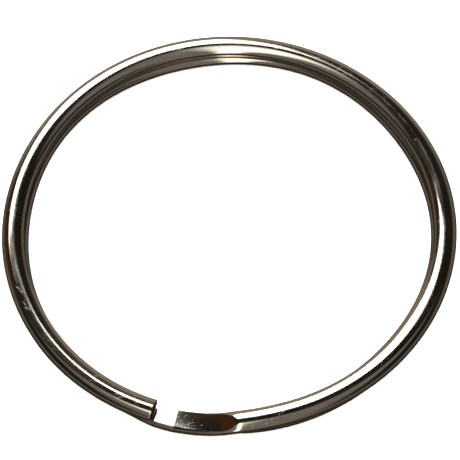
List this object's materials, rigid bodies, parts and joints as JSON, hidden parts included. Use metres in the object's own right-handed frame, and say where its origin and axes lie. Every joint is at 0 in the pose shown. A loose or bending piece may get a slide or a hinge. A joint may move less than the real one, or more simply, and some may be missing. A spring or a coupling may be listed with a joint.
{
  "type": "split key ring",
  "caption": "Sprung ring of flattened plated wire in two touching turns with a climbing crossover, opened at a free end to thread keys on.",
  "frame": {"origin": "centre of the closed ring, on the underside of the lower turn", "axes": "+Z along the ring's axis from the lower turn to the upper one, -Y towards the crossover and the free ends"},
  "size_m": [0.032, 0.0321, 0.0016],
  "materials": {
    "nickel_plate": "bright nickel plating with fine drawing lines along the wire"
  },
  "bodies": {
    "lower_free_end": {"lower_free_end": "nickel_plate"},
    "lower_turn_2": {"lower_turn_2": "nickel_plate"},
    "lower_turn_3": {"lower_turn_3": "nickel_plate"},
    "lower_turn_4": {"lower_turn_4": "nickel_plate"},
    "lower_turn_5": {"lower_turn_5": "nickel_plate"},
    "lower_turn_6": {"lower_turn_6": "nickel_plate"},
    "lower_turn_7": {"lower_turn_7": "nickel_plate"},
    "lower_turn_8": {"lower_turn_8": "nickel_plate"},
    "crossover": {"crossover": "nickel_plate"},
    "upper_turn_1": {"upper_turn_1": "nickel_plate"},
    "upper_turn_2": {"upper_turn_2": "nickel_plate"},
    "upper_turn_3": {"upper_turn_3": "nickel_plate"},
    "upper_turn_4": {"upper_turn_4": "nickel_plate"},
    "upper_turn_5": {"upper_turn_5": "nickel_plate"},
    "upper_turn_6": {"upper_turn_6": "nickel_plate"},
    "upper_turn_7": {"upper_turn_7": "nickel_plate"},
    "upper_free_end": {"upper_free_end": "nickel_plate"}
  },
  "joints": [
    {"name": "lower_turn_opens", "type": "hinge", "parent": "lower_free_end", "child": "lower_turn_2", "pos_m": [0.01019, -0.01109, 0.0004], "axis": [0.7365, 0.6764, 0], "range_deg": [0, 2], "stiffness_Nm_per_rad": 0.008, "springref_deg": -4.01},
    {"name": "lower_twist_2", "type": "hinge", "parent": "lower_turn_2", "child": "lower_turn_3", "pos_m": [0.01497, -0.00167, 0.0004], "axis": [0.111, 0.9938, 0], "range_deg": [0, 2]},
    {"name": "lower_twist_3", "type": "hinge", "parent": "lower_turn_3", "child": "lower_turn_4", "pos_m": [0.01238, 0.00857, 0.0004], "axis": [-0.5691, 0.8223, 0], "range_deg": [0, 2]},
    {"name": "lower_twist_4", "type": "hinge", "parent": "lower_turn_4", "child": "lower_turn_5", "pos_m": [0.00371, 0.0146, 0.0004], "axis": [-0.9692, 0.2462, 0], "range_deg": [0, 2]},
    {"name": "lower_twist_5", "type": "hinge", "parent": "lower_turn_5", "child": "lower_turn_6", "pos_m": [-0.00679, 0.01344, 0.0004], "axis": [-0.8925, -0.4511, 0], "range_deg": [0, 2]},
    {"name": "lower_twist_6", "type": "hinge", "parent": "lower_turn_6", "child": "lower_turn_7", "pos_m": [-0.01395, 0.00567, 0.0004], "axis": [-0.3766, -0.9264, 0], "range_deg": [0, 2]},
    {"name": "lower_twist_7", "type": "hinge", "parent": "lower_turn_7", "child": "lower_turn_8", "pos_m": [-0.01424, -0.00489, 0.0004], "axis": [0.3245, -0.9459, 0], "range_deg": [0, 2]},
    {"name": "lower_twist_8", "type": "hinge", "parent": "lower_turn_8", "child": "crossover", "pos_m": [-0.00753, -0.01304, 0.0004], "axis": [0.866, -0.5, 0], "range_deg": [0, 2]},
    {"name": "upper_turn_opens", "type": "hinge", "parent": "crossover", "child": "upper_turn_1", "pos_m": [0.00569, -0.01409, 0.00123], "axis": [0.9272, 0.3746, 0], "range_deg": [0, 2], "stiffness_Nm_per_rad": 0.008, "springref_deg": -4.01},
    {"name": "upper_twist_2", "type": "hinge", "parent": "upper_turn_1", "child": "upper_turn_2", "pos_m": [0.01337, -0.00722, 0.00123], "axis": [0.4752, 0.8799, 0], "range_deg": [0, 2]},
    {"name": "upper_twist_3", "type": "hinge", "parent": "upper_turn_2", "child": "upper_turn_3", "pos_m": [0.01491, 0.00297, 0.00123], "axis": [-0.1951, 0.9808, 0], "range_deg": [0, 2]},
    {"name": "upper_twist_4", "type": "hinge", "parent": "upper_turn_3", "child": "upper_turn_4", "pos_m": [0.00959, 0.01179, 0.00123], "axis": [-0.7758, 0.631, 0], "range_deg": [0, 2]},
    {"name": "upper_twist_5", "type": "hinge", "parent": "upper_turn_4", "child": "upper_turn_5", "pos_m": [-0.00013, 0.0152, 0.00123], "axis": [-1, -0.0087, 0], "range_deg": [0, 2]},
    {"name": "upper_twist_6", "type": "hinge", "parent": "upper_turn_5", "child": "upper_turn_6", "pos_m": [-0.0098, 0.01162, 0.00123], "axis": [-0.7646, -0.6445, 0], "range_deg": [0, 2]},
    {"name": "upper_twist_7", "type": "hinge", "parent": "upper_turn_6", "child": "upper_turn_7", "pos_m": [-0.01496, 0.0027, 0.00123], "axis": [-0.1779, -0.984, 0], "range_deg": [0, 2]},
    {"name": "upper_twist_8", "type": "hinge", "parent": "upper_turn_7", "child": "upper_free_end", "pos_m": [-0.01325, -0.00746, 0.00123], "axis": [0.4905, -0.8714, 0], "range_deg": [0, 2]}
  ],
  "couplings": [
    {"joint": "lower_twist_2", "follows": "lower_turn_opens", "ratio": 1},
    {"joint": "lower_twist_3", "follows": "lower_turn_opens", "ratio": 1},
    {"joint": "lower_twist_4", "follows": "lower_turn_opens", "ratio": 1},
    {"joint": "lower_twist_5", "follows": "lower_turn_opens", "ratio": 1},
    {"joint": "lower_twist_6", "follows": "lower_turn_opens", "ratio": 1},
    {"joint": "lower_twist_7", "follows": "lower_turn_opens", "ratio": 1},
    {"joint": "lower_twist_8", "follows": "lower_turn_opens", "ratio": 1},
    {"joint": "upper_twist_2", "follows": "upper_turn_opens", "ratio": 1},
    {"joint": "upper_twist_3", "follows": "upper_turn_opens", "ratio": 1},
    {"joint": "upper_twist_4", "follows": "upper_turn_opens", "ratio": 1},
    {"joint": "upper_twist_5", "follows": "upper_turn_opens", "ratio": 1},
    {"joint": "upper_twist_6", "follows": "upper_turn_opens", "ratio": 1},
    {"joint": "upper_twist_7", "follows": "upper_turn_opens", "ratio": 1},
    {"joint": "upper_twist_8", "follows": "upper_turn_opens", "ratio": 1}
  ]
}
